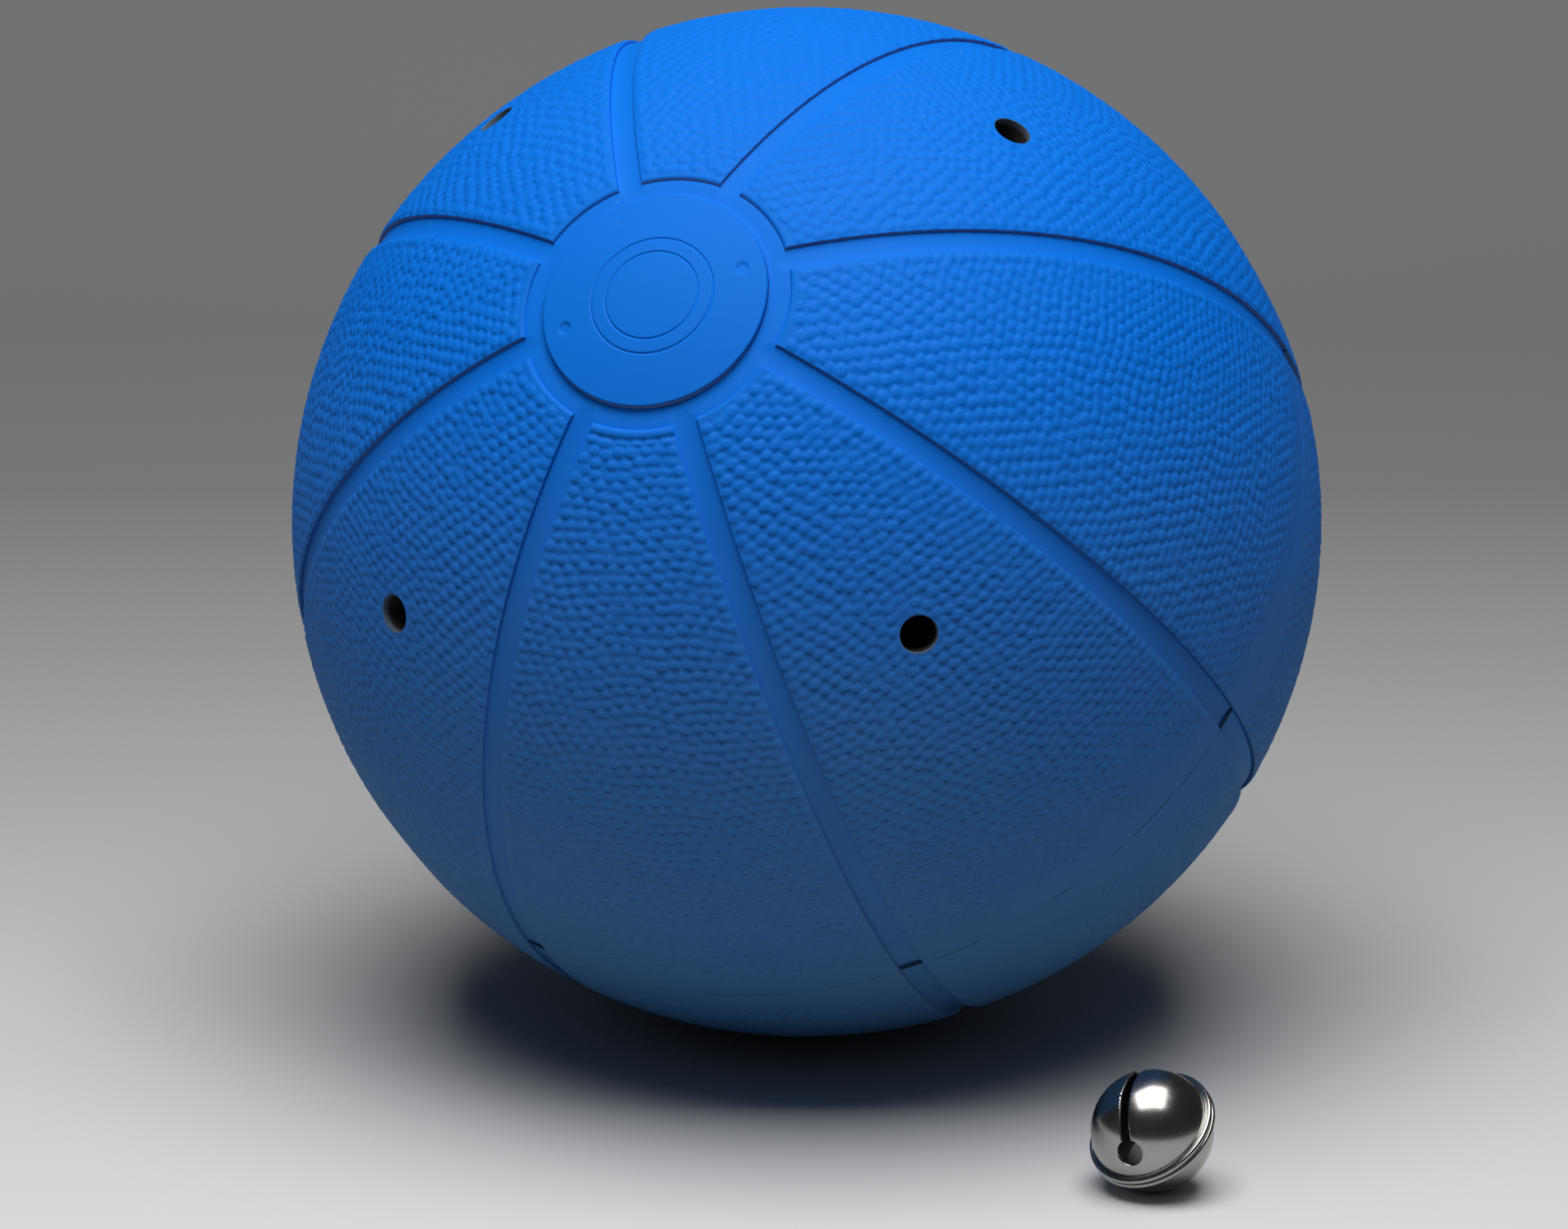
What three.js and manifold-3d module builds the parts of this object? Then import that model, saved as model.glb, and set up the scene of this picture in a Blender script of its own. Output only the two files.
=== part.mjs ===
// A goalball: a heavy hollow rubber ball, moulded as two half shells bonded at the equator,
// with jingle bells loose inside and sound holes through the wall. A third bell of the same
// kind lies beside the ball, as a sample of what it holds.
// Millimetres, +Z up, +Y to the back. The origin is the point where the ball rests.

import * as THREE from "three";
import { mergeVertices } from "three/addons/utils/BufferGeometryUtils.js";
import Module from "manifold-3d";

const wasm = await Module();
wasm.setup();

// Rubber half shells
const ballDiameter = 242;
const wallThickness = 6;
const bondGap = 0.3;
const poleDiscDiameter = 53.4;
const ringChannelWidth = 5.1;
const ringChannelDepth = 1.6;
const channelCount = 8;
const channelWidth = 5.8;
const channelDepth = 1.5;
const ventMarkCount = 2;
const ventMarkDiameter = 3;
const ventMarkDepth = 0.4;
const ventMarkCircle = 43;
const soundHoleDiameter = 9;
const soundHoleCount = 4;
const soundHoleAngle = 48;

// How the ball lies: its pole leans over and the lean is turned about the vertical, in degrees
const ballLean = 50.3;
const ballTurn = -22.4;
const ballSpin = 26.8;

// Jingle bells
const bellDiameter = 28;
const bellSheet = 0.8;
const crimpOverhang = 1.3;
const crimpHeight = 1.5;
const crimpRounding = 0.5;
const crimpSeam = 0.3;
const slotWidth = 2.3;
const keyholeDiameter = 6.2;
const keyholeAngle = 57.5;
const pelletDiameter = 11;
const innerSlotTurn = 35;

// Running clearances
const bellClearance = 0.3;
const pelletClearance = 0.4;
const bellSpacing = 5;
const cutterMargin = 2;

// The sample bell: its place on the floor and how it lies, in degrees
const sampleX = 78.1;
const sampleY = -129.7;
const sampleLean = 40.2;
const sampleTurn = -44.8;
const sampleSpin = -65;

// Facets
const shellFacets = 48;
const discRings = 3;
const ringChannelRings = 1;
const panelRings = 12;
const innerRings = 9;
const innerFacets = 40;
const bellFacets = 28;
const bellRings = 6;
const pelletFacets = 16;
const pelletRings = 10;
const drillFacets = 16;

const ballRadius = ballDiameter / 2;
const innerRadius = ballRadius - wallThickness;
const bellRadius = bellDiameter / 2;
const crimpRadius = bellRadius + crimpOverhang;
const bellInnerRadius = bellRadius - bellSheet;
const pelletRadius = pelletDiameter / 2;
const degrees = Math.PI / 180;

const rubber = finish("blue_rubber", 0x0f6fe0, 0.55, 0);
const steel = finish("polished_steel", 0xb9bab8, 0.16, 1);
const pelletSteel = finish("pellet_steel", 0x8f9192, 0.35, 1);

function finish(name, color, roughness, metalness) {
  return new THREE.MeshStandardMaterial({ name, color, roughness, metalness });
}

// Points of an arc about the origin. Angles are measured from the +Y axis of the profile.
function arcPoints(radius, fromAngle, toAngle, steps) {
  const points = [];
  for (let i = 0; i <= steps; i++) {
    const angle = fromAngle + ((toAngle - fromAngle) * i) / steps;
    points.push(new THREE.Vector2(radius * Math.sin(angle), radius * Math.cos(angle)));
  }
  return points;
}

// A closed profile turned about Z. Points on the axis are set to exactly zero radius.
function revolve(profile, facets) {
  const onAxis = profile.map((p) => new THREE.Vector2(Math.abs(p.x) < 1e-9 ? 0 : p.x, p.y));
  return new THREE.LatheGeometry(onAxis, facets).rotateX(Math.PI / 2);
}

function toSolid(geometry) {
  geometry.deleteAttribute("normal");
  geometry.deleteAttribute("uv");
  const welded = mergeVertices(geometry, 1e-4);
  const corners = welded.index.array;
  const faces = [];
  for (let i = 0; i < corners.length; i += 3) {
    const [a, b, c] = [corners[i], corners[i + 1], corners[i + 2]];
    if (a !== b && b !== c && c !== a) faces.push(a, b, c);
  }
  const triVerts = new Uint32Array(faces);
  const vertProperties = welded.attributes.position.array;
  return new wasm.Manifold(new wasm.Mesh({ numProp: 3, vertProperties, triVerts }));
}

function toGeometry(solid) {
  const { vertProperties, triVerts } = solid.getMesh();
  const geometry = new THREE.BufferGeometry();
  geometry.setAttribute("position", new THREE.BufferAttribute(new Float32Array(vertProperties), 3));
  geometry.setIndex(new THREE.BufferAttribute(new Uint32Array(triVerts), 1));
  const flat = geometry.toNonIndexed();
  flat.computeVertexNormals();
  return flat;
}

// A drill that crosses a sphere's wall along the direction given by its angle from +Z and its
// turn about Z, both in degrees.
function radialDrill(diameter, fromRadius, toRadius, angle, turn) {
  const length = toRadius - fromRadius;
  const drill = new THREE.CylinderGeometry(diameter / 2, diameter / 2, length, drillFacets);
  drill.rotateX(Math.PI / 2).translate(0, 0, fromRadius + length / 2);
  drill.rotateY(angle * degrees).rotateZ(turn * degrees);
  return toSolid(drill);
}

const discAngle = Math.asin(poleDiscDiameter / 2 / ballRadius);
const ringAngle = Math.asin((poleDiscDiameter / 2 + ringChannelWidth) / ballRadius);

// Half shell with its pole on +Z: pole disc, ring channel, plain panels and the inner wall.
function halfShellBlank() {
  const ringFloor = ballRadius - ringChannelDepth;
  const outerEdge = Math.acos(bondGap / 2 / ballRadius);
  const innerEdge = Math.acos(bondGap / 2 / innerRadius);
  const outside = [
    ...arcPoints(ballRadius, 0, discAngle, discRings),
    ...arcPoints(ringFloor, discAngle, ringAngle, ringChannelRings),
    ...arcPoints(ballRadius, ringAngle, outerEdge, panelRings),
  ];
  outside.push(new THREE.Vector2(0, bondGap / 2));
  const inside = arcPoints(innerRadius, innerEdge, 0, innerRings);
  inside.unshift(new THREE.Vector2(0, -bondGap), new THREE.Vector2(inside[0].x, -bondGap));
  const dome = toSolid(revolve(outside.reverse(), shellFacets));
  const hollow = toSolid(revolve(inside, innerFacets));
  return dome.subtract(hollow);
}

// One straight channel from the ring channel to past the equator, along the +X meridian. The
// floor's chords touch the channel's depth, so they never cut into the ring channel.
function channelCutter() {
  const start = (discAngle + ringAngle) / 2;
  const end = Math.PI / 2 + cutterMargin / ballRadius;
  const step = (end - start) / panelRings;
  const floor = (ballRadius - channelDepth) / Math.cos(step / 2);
  const top = ballRadius + cutterMargin;
  const outline = new THREE.Shape([
    ...arcPoints(top, start, end, panelRings),
    ...arcPoints(floor, end, start, panelRings),
  ]);
  const cutter = new THREE.ExtrudeGeometry(outline, { depth: channelWidth, bevelEnabled: false });
  return cutter.translate(0, 0, -channelWidth / 2).rotateX(Math.PI / 2);
}

function halfShell() {
  let shell = halfShellBlank();
  const pitch = 360 / channelCount;
  for (let i = 0; i < channelCount; i++) {
    shell = shell.subtract(toSolid(channelCutter().rotateZ(i * pitch * degrees)));
  }
  const inside = innerRadius - cutterMargin;
  const outside = ballRadius + cutterMargin;
  for (let i = 0; i < soundHoleCount; i++) {
    const turn = pitch / 2 + (i * 360) / soundHoleCount;
    shell = shell.subtract(radialDrill(soundHoleDiameter, inside, outside, soundHoleAngle, turn));
  }
  const markFloor = ballRadius - ventMarkDepth;
  const markAngle = Math.asin(ventMarkCircle / 2 / ballRadius) / degrees;
  for (let i = 0; i < ventMarkCount; i++) {
    const turn = (i * 360) / ventMarkCount;
    shell = shell.subtract(radialDrill(ventMarkDiameter, markFloor, outside, markAngle, turn));
  }
  return toGeometry(shell);
}

// A bell's cup with its dome on +Z and its half of the crimp bead at the rim.
function bellCup() {
  const seam = crimpSeam / 2;
  const beadTop = crimpHeight;
  const domeStart = Math.acos(beadTop / bellRadius);
  const lip = Math.min(crimpRounding, crimpOverhang / 2, (beadTop - seam) / 2);
  const outside = [
    ...arcPoints(bellRadius, 0, domeStart, bellRings),
    new THREE.Vector2(crimpRadius - lip, beadTop),
    new THREE.Vector2(crimpRadius, beadTop - lip),
    new THREE.Vector2(crimpRadius, seam),
  ];
  const inside = arcPoints(bellInnerRadius, Math.acos(seam / bellInnerRadius), 0, bellRings - 1);
  return toSolid(revolve([...outside, ...inside].reverse(), bellFacets));
}

// The slot runs over the dome between two keyholes.
function slottedCup() {
  const reach = bellRadius * Math.sin(keyholeAngle * degrees);
  const height = bellRadius + cutterMargin;
  const foot = bellInnerRadius * Math.cos(keyholeAngle * degrees) - cutterMargin;
  const slot = new THREE.BoxGeometry(2 * reach, slotWidth, height).translate(0, 0, foot + height / 2);
  const inside = bellInnerRadius - cutterMargin;
  const outside = crimpRadius + cutterMargin;
  let cup = bellCup().subtract(toSolid(slot));
  for (const turn of [0, 180]) {
    cup = cup.subtract(radialDrill(keyholeDiameter, inside, outside, keyholeAngle, turn));
  }
  return toGeometry(cup);
}

function mesh(name, geometry, material) {
  const piece = new THREE.Mesh(geometry, material);
  piece.name = name;
  return piece;
}

// A group turned about the vertical, leaned towards the front and spun about its own axis.
function leaned(turn, lean, spin, ...pieces) {
  const spun = new THREE.Group();
  spun.rotation.z = spin * degrees;
  spun.add(...pieces);
  const tipped = new THREE.Group();
  tipped.rotation.x = lean * degrees;
  tipped.add(spun);
  const turned = new THREE.Group();
  turned.rotation.z = turn * degrees;
  turned.add(tipped);
  return turned;
}

function ball() {
  const upper = mesh("upper_half_shell", halfShell(), rubber);
  const lower = mesh("lower_half_shell", halfShell(), rubber);
  lower.rotation.x = Math.PI;
  const group = leaned(ballTurn, ballLean, ballSpin, upper, lower);
  group.position.z = ballRadius;
  return group;
}

// A bell at its place: cups turned by the given group maker, pellet at the bottom of the bell.
function bell(name, position, turnCups) {
  const slotted = mesh(`${name}_slotted_cup`, slottedCup(), steel);
  const plain = mesh(`${name}_plain_cup`, toGeometry(bellCup()), steel);
  plain.rotation.x = Math.PI;
  const round = new THREE.SphereGeometry(pelletRadius, pelletFacets, pelletRings);
  const pellet = mesh(`${name}_pellet`, round, pelletSteel);
  const reach = bellInnerRadius - facetSag(bellInnerRadius, bellFacets);
  pellet.position.z = pelletRadius + pelletClearance - reach;
  const group = new THREE.Group();
  group.add(turnCups(slotted, plain), pellet);
  group.position.copy(position);
  return group;
}

// How far a faceted round's flats lie inside its corners.
function facetSag(radius, facets) {
  return radius * (1 - Math.cos(Math.PI / facets));
}

// The two bells in the ball lie side by side at its lowest place, like wheels on their crimp
// beads, with their slotted cups outward.
function innerBell(name, side) {
  const x = side * (bellRadius + bellSpacing / 2);
  const reach = innerRadius - 2 * facetSag(innerRadius, innerFacets) - bellClearance;
  const orbit = Math.sqrt(reach ** 2 - (Math.abs(x) + crimpHeight) ** 2) - crimpRadius;
  const position = new THREE.Vector3(x, 0, ballRadius - orbit);
  return bell(name, position, (...cups) => {
    const spun = new THREE.Group();
    spun.rotation.z = innerSlotTurn * degrees;
    spun.add(...cups);
    const aside = new THREE.Group();
    aside.rotation.y = (side * Math.PI) / 2;
    aside.add(spun);
    return aside;
  });
}

function sampleBell() {
  const position = new THREE.Vector3(sampleX, sampleY, bellRadius);
  return bell("sample_bell", position, (...cups) => leaned(sampleTurn, sampleLean, sampleSpin, ...cups));
}

const goalball = new THREE.Group();
goalball.name = "goalball";
goalball.add(ball(), innerBell("bell_1", -1), innerBell("bell_2", 1), sampleBell());

export default goalball;
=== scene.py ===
import math
import bmesh
import bpy
import numpy as np
from mathutils import Matrix, Vector


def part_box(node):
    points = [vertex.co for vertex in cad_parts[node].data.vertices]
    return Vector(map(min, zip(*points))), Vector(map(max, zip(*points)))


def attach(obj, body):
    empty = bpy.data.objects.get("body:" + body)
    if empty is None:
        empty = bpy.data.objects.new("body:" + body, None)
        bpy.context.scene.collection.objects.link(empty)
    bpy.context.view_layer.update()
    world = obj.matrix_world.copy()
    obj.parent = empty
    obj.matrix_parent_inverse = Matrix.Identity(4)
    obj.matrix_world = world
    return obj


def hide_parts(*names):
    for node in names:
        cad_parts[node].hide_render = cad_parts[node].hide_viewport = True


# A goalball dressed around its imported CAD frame: two moulded rubber halves with pebbled panels,
# the jingle bells inside and one sample bell on the floor. Lengths are millimetres unless a
# note says otherwise, and a piece is brought to metres when it is placed.
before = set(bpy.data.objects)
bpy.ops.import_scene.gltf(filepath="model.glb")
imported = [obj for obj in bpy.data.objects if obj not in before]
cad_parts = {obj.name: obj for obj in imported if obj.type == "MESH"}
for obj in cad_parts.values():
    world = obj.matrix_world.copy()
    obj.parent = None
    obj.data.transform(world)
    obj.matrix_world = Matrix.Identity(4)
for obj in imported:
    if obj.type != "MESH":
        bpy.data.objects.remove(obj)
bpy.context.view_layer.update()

metre = 0.001

shell = {
    "radius": 121.0,
    "wall": 6.0,
    "lean": 50.3,           # how the ball lies, in degrees
    "turn": -22.4,
    "spin": 26.8,
    "channels": 8,
    "channelWidth": 5.8,
    "discDiameter": 53.4,
    "ringWidth": 5.1,
    "bondGap": 0.3,
    "holeDiameter": 9.0,
    "holeAngle": 48.0,
    "grainBase": -0.25,     # the panels' level between the pebbles, from the ball's radius
}

ballRadius = shell["radius"]
channelHalf = shell["channelWidth"] / 2
pitchAngle = 2 * math.pi / shell["channels"]
discRadius = shell["discDiameter"] / 2
discAngle = math.asin(discRadius / ballRadius)
ringAngle = math.asin((discRadius + shell["ringWidth"]) / ballRadius)
innerRadius = ballRadius - shell["wall"]
holeRadius = shell["holeDiameter"] / 2
holeTilt = math.radians(shell["holeAngle"])


def turned(degrees, axis):
    return Matrix.Rotation(math.radians(degrees), 4, axis)


toMetres = Matrix.Scale(metre, 4)
ballPlace = (toMetres @ Matrix.Translation((0, 0, ballRadius)) @ turned(shell["turn"], "Z")
             @ turned(shell["lean"], "X") @ turned(shell["spin"], "Z"))
halves = {"upper": ballPlace, "lower": ballPlace @ turned(180, "X")}


def smoothStep(low, high, value):
    t = np.clip((value - low) / (high - low), 0, 1)
    return t * t * (3 - 2 * t)


def coordinates(bm):
    return np.array([v.co[:] for v in bm.verts])


def moveTo(bm, points):
    for vert, point in zip(bm.verts, points):
        vert.co = point


def boundaryEdges(bm):
    return [e for e in bm.edges if e.is_boundary]


def setGrain(bm, values):
    layer = bm.verts.layers.float.get("grain") or bm.verts.layers.float.new("grain")
    for vert, value in zip(bm.verts, values):
        vert[layer] = value


def spun(profile, steps):
    # a closed or axis-to-axis profile of (radius, height) pairs, turned once about Z
    bm = bmesh.new()
    verts = [bm.verts.new((r, 0, z)) for r, z in profile]
    edges = [bm.edges.new(pair) for pair in zip(verts, verts[1:])]
    bmesh.ops.spin(bm, geom=verts + edges, cent=(0, 0, 0), axis=(0, 0, 1), angle=2 * math.pi,
                   steps=steps, use_merge=True, use_duplicate=False)
    bmesh.ops.remove_doubles(bm, verts=bm.verts[:], dist=1e-4)
    bmesh.ops.recalc_face_normals(bm, faces=bm.faces[:])
    return bm


def addPiece(name, mesh, place, body, replaced, materials):
    mesh = mesh.copy()
    mesh.name = name
    mesh.transform(place)
    mesh.shade_smooth()
    for material in materials:
        mesh.materials.append(material)
    piece = bpy.data.objects.new(name, mesh)
    bpy.context.scene.collection.objects.link(piece)
    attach(piece, body)
    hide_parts(*replaced)
    return piece


def keep(bm, name):
    mesh = bpy.data.meshes.new(name)
    bm.to_mesh(mesh)
    bm.free()
    return mesh


def carve(mesh, cutters):
    # takes closed cutter shapes out of a closed mesh
    target = bpy.data.objects.new("carved", mesh)
    bpy.context.scene.collection.objects.link(target)
    tools = []
    for cutter in cutters:
        tool = bpy.data.objects.new("cutter", keep(cutter, "cutter"))
        bpy.context.scene.collection.objects.link(tool)
        tools.append(tool)
        step = target.modifiers.new("cut", "BOOLEAN")
        step.operation = "DIFFERENCE"
        step.solver = "EXACT"
        step.object = tool
    bpy.context.view_layer.update()
    evaluated = target.evaluated_get(bpy.context.evaluated_depsgraph_get())
    result = bpy.data.meshes.new_from_object(evaluated)
    for spare in (target, *tools):
        bpy.data.objects.remove(spare)
    return result


def drill(radius, tilt, azimuth, low, high, sides=48):
    # a closed cylinder along the direction given by its angle from Z and its turn about Z
    bm = bmesh.new()
    bmesh.ops.create_cone(bm, cap_ends=True, segments=sides, radius1=radius, radius2=radius,
                          depth=high - low)
    bmesh.ops.translate(bm, verts=bm.verts[:], vec=(0, 0, (low + high) / 2))
    place = Matrix.Rotation(azimuth, 4, "Z") @ Matrix.Rotation(tilt, 4, "Y")
    bmesh.ops.transform(bm, matrix=place, verts=bm.verts[:])
    return bm


# Shader maths

class Wire:
    # a socket that takes part in plain arithmetic
    def __init__(self, recipe, socket):
        self.recipe = recipe
        self.socket = socket

    def maths(self, operation, *values):
        inputs = dict(enumerate(values))
        return self.recipe.node("ShaderNodeMath", {"operation": operation}, inputs).out()

    def __add__(self, other):
        return self.maths("ADD", self, other)

    def __radd__(self, other):
        return self.maths("ADD", other, self)

    def __sub__(self, other):
        return self.maths("SUBTRACT", self, other)

    def __rsub__(self, other):
        return self.maths("SUBTRACT", other, self)

    def __mul__(self, other):
        return self.maths("MULTIPLY", self, other)

    def __rmul__(self, other):
        return self.maths("MULTIPLY", other, self)

    def between(self, low, high):
        # 0 below the first value, 1 above the second, smooth in between
        settings = {"interpolation_type": "SMOOTHSTEP"}
        sockets = {"Value": self, "From Min": low, "From Max": high}
        return self.recipe.node("ShaderNodeMapRange", settings, sockets).out("Result")


class Placed:
    # a node that has been added, and its outputs by name
    def __init__(self, recipe, node):
        self.recipe = recipe
        self.node = node

    def out(self, name=0):
        return Wire(self.recipe, self.node.outputs[name])


class Recipe:
    # one material and the means to add to it
    def __init__(self, name):
        self.material = bpy.data.materials.new(name)
        self.material.use_nodes = True
        self.tree = self.material.node_tree
        self.tree.nodes.clear()
        self.place = self.node("ShaderNodeTexCoord").out("Object")

    def node(self, kind, settings=None, sockets=None):
        node = self.tree.nodes.new(kind)
        for name, value in (settings or {}).items():
            if name == "stops":
                self.setStops(node.color_ramp, value)
            else:
                setattr(node, name, value)
        for name, value in (sockets or {}).items():
            if isinstance(value, Wire):
                self.tree.links.new(value.socket, node.inputs[name])
            else:
                node.inputs[name].default_value = value
        return Placed(self, node)

    def setStops(self, ramp, stops):
        while len(ramp.elements) < len(stops):
            ramp.elements.new(1.0)
        for element, (position, colour) in zip(ramp.elements, stops):
            element.position = position
            element.color = colour

    def noise(self, scale, detail=2.0, roughness=0.5, vector=None):
        sockets = {"Vector": vector or self.place, "Scale": scale, "Detail": detail,
                   "Roughness": roughness}
        return self.node("ShaderNodeTexNoise", None, sockets).out("Fac")

    def attribute(self, name):
        return self.node("ShaderNodeAttribute", {"attribute_name": name}).out("Fac")

    def mix(self, factor, first, second):
        settings = {"data_type": "RGBA"}
        sockets = {0: factor, 6: first, 7: second}
        return self.node("ShaderNodeMix", settings, sockets).out(2)

    def finish(self, surface, height=None, strength=0.3, distance=0.0001):
        if height is not None:
            bump = {"Height": height, "Strength": strength, "Distance": distance}
            surface["Normal"] = self.node("ShaderNodeBump", None, bump).out("Normal")
        shader = self.node("ShaderNodeBsdfPrincipled", None, surface)
        self.node("ShaderNodeOutputMaterial", None, {"Surface": shader.out("BSDF")})
        return self.material


rubberLook = {
    # the deep blue serves random tone and painted shade in the valleys between pebbles
    "deep": (0.001, 0.110, 0.42, 1),
    "blue": (0.002, 0.185, 0.80, 1),
    "worn": (0.004, 0.215, 0.86, 1),
    "speck": (0.10, 0.36, 0.88, 1),
    # dust, and painted reflection of the bright floor on the low side
    "dustAndFloorSheen": (0.12, 0.31, 0.55, 1),
    # the dark of the broken parting line, and painted shade on the fins of flash
    "seamDarkAndFinShade": (0.004, 0.014, 0.022, 1),
    # painted shade: the dark colour laid on the undersides of the pebbles, where light from above
    # leaves shade
    "grimeAndShade": (0.004, 0.055, 0.16, 1),
    "wall": (0.12, 0.19, 0.33, 1),      # painted shade where a channel's or a disc's wall looks down
    "wornShare": 0.45,
    "speckShare": 0.3,
    "underShadeShare": 0.42,     # painted shade under each pebble
    "lowUnderShadeShare": 0.4,   # more of it low down
    "wallShadeShare": 0.9,
    "greyingTop": 0.19,        # metres over the floor between which the greying thins out, partly dust and partly painted reflection of the floor
    "greyingBottom": 0.02,
    "roughness": 0.6,
    "specular": 0.10,
}


def rubberMaterial():
    look = rubberLook
    recipe = Recipe("blue rubber")
    grain = recipe.attribute("grain")
    drift = recipe.noise(16, 3)
    mottle = recipe.noise(130, 5, 0.6)
    fine = recipe.noise(2600, 3, 0.6)
    under = recipe.attribute("underside")
    # painted shade: the colour darkens where the grain is low, in the valleys between pebbles, in
    # the groove by a panel's lip and in the disc's fine rings and marks; the rest of this mix is
    # tone that differs at random
    valleyShade = 1 - grain.between(0.0, 0.5)
    shade = valleyShade * 0.1 + (0.5 - drift) * 0.25 + (0.5 - mottle) * 0.2
    colour = recipe.mix(shade.between(0, 0.6), look["blue"], look["deep"])
    rubbed = mottle.between(0.52, 0.78) * grain.between(0.6, 1.0)
    colour = recipe.mix(rubbed * look["wornShare"], colour, look["worn"])
    specks = recipe.noise(430, 1, 0.5).between(0.79, 0.82)
    colour = recipe.mix(specks * look["speckShare"], colour, look["speck"])
    level = recipe.node("ShaderNodeSeparateXYZ", None, {"Vector": recipe.place}).out("Z")
    # paler and greyer towards the bottom: partly dust, partly a painted reflection of the bright
    # floor below
    low = level.between(look["greyingTop"], look["greyingBottom"])
    dustAndSheenShare = low * (0.55 + drift * 0.4) * (1 - grain.between(0.75, 1.0) * 0.1)
    colour = recipe.mix(dustAndSheenShare, colour, look["dustAndFloorSheen"])
    # painted shade under each pebble, stronger low down and weaker on the side that faces the
    # light
    grimeAndShade = under.between(0.08, 0.34) * (look["underShadeShare"] + low * look["lowUnderShadeShare"])
    colour = recipe.mix(grimeAndShade, colour, look["grimeAndShade"])
    # painted shade, greyish, on the walls of the channels and the disc that look down
    wallShade = recipe.attribute("wall") * look["wallShadeShare"]
    colour = recipe.mix(wallShade, colour, look["wall"])
    # dark on the bond line: its broken parting line, and painted shade on the fins of flash
    # across the channels
    colour = recipe.mix(grain.between(0, -1), colour, look["seamDarkAndFinShade"])
    roughness = look["roughness"] + (fine - 0.5) * 0.14 + (drift - 0.5) * 0.12 - rubbed * 0.05
    height = fine * 0.6 + recipe.noise(900, 2) * 0.8
    surface = {"Base Color": colour, "Roughness": roughness,
               "Specular IOR Level": look["specular"]}
    return recipe.finish(surface, height, strength=0.3, distance=0.00006)


cutRubberLook = {
    "edgeDark": (0.06, 0.09, 0.13, 1),
    "edgeLight": (0.18, 0.23, 0.30, 1),
    # painted shade deep inside a hole
    "inner": (0.045, 0.041, 0.038, 1),
    "roughness": 0.6,
}


def cutRubberMaterial():
    # greyed and dusty at the edge of a hole, dark further in as painted shade inside the hole
    look = cutRubberLook
    recipe = Recipe("cut rubber")
    grain = recipe.attribute("grain")
    torn = recipe.noise(1800, 4, 0.65)
    edge = recipe.mix(torn, look["edgeDark"], look["edgeLight"])
    colour = recipe.mix(grain.between(0.1, 0.9), look["inner"], edge)
    surface = {"Base Color": colour, "Roughness": look["roughness"] + torn * 0.25,
               "Specular IOR Level": 0.1}
    return recipe.finish(surface, torn, strength=0.6, distance=0.0001)


steelLook = {
    "clean": (0.37, 0.365, 0.35, 1),
    "tarnished": (0.25, 0.23, 0.21, 1),
    "tarnishShare": 0.4,
    "roughness": 0.15,
}


def steelMaterial():
    look = steelLook
    recipe = Recipe("polished steel")
    streaks = recipe.node("ShaderNodeMapping", {"vector_type": "POINT"}, {
        "Vector": recipe.place, "Rotation": (0.5, 0.9, 0.3), "Scale": (1.0, 1.0, 0.06)})
    scratches = recipe.noise(5200, 2, 0.6, streaks.out("Vector"))
    smudges = recipe.noise(190, 4, 0.6)
    tarnish = recipe.noise(420, 5, 0.65).between(0.55, 0.8)
    colour = recipe.mix(tarnish * look["tarnishShare"], look["clean"], look["tarnished"])
    roughness = look["roughness"] + smudges * 0.12
    roughness = roughness + scratches.between(0.55, 0.8) * 0.1 + tarnish * 0.1
    surface = {"Base Color": colour, "Roughness": roughness, "Metallic": 1.0}
    return recipe.finish(surface, scratches, strength=0.08, distance=0.00003)


dullSteelLook = {
    "dark": (0.05, 0.048, 0.045, 1),
    "light": (0.14, 0.135, 0.13, 1),
    "roughness": 0.5,
}


def dullSteelMaterial():
    # the unpolished inside of a bell
    look = dullSteelLook
    recipe = Recipe("dull steel")
    scale = recipe.noise(600, 4, 0.6)
    colour = recipe.mix(scale, look["dark"], look["light"])
    surface = {"Base Color": colour, "Roughness": look["roughness"] + scale * 0.2,
               "Metallic": 1.0}
    return recipe.finish(surface, scale, strength=0.2, distance=0.0001)


pelletLook = {
    "clean": (0.86, 0.86, 0.85, 1),
    "grimy": (0.60, 0.59, 0.57, 1),
    "roughness": 0.4,
    "metallic": 0.4,
}


def pelletMaterial():
    look = pelletLook
    recipe = Recipe("tumbled steel")
    dents = recipe.noise(700, 4, 0.6)
    grimeAndShade = recipe.noise(260, 3, 0.6).between(0.45, 0.75)
    colour = recipe.mix(grimeAndShade, look["clean"], look["grimy"])
    surface = {"Base Color": colour, "Roughness": look["roughness"] + grimeAndShade * 0.2,
               "Metallic": look["metallic"]}
    return recipe.finish(surface, dents, strength=0.3, distance=0.0001)


print("materials")
rubber = rubberMaterial()
cutRubber = cutRubberMaterial()
steel = steelMaterial()
dullSteel = dullSteelMaterial()
pelletSteel = pelletMaterial()


# Camera

view = {
    "place": (-0.00534, -2.4064, 0.7884),   # metres
    "tilt": 74.0,           # degrees from straight down
    "lens": 243.46,
    "sensor": 36.0,
    "farthest": 20.0,       # metres
}

cameraData = bpy.data.cameras.new("camera")
cameraData.lens = view["lens"]
cameraData.sensor_width = view["sensor"]
cameraData.clip_end = view["farthest"]
camera = bpy.data.objects.new("camera", cameraData)
camera.location = view["place"]
camera.rotation_euler = (math.radians(view["tilt"]), 0, 0)
bpy.context.scene.collection.objects.link(camera)
bpy.context.scene.camera = camera


# Pebbled panels: one gore between two channels, centred on the +X meridian

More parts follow.
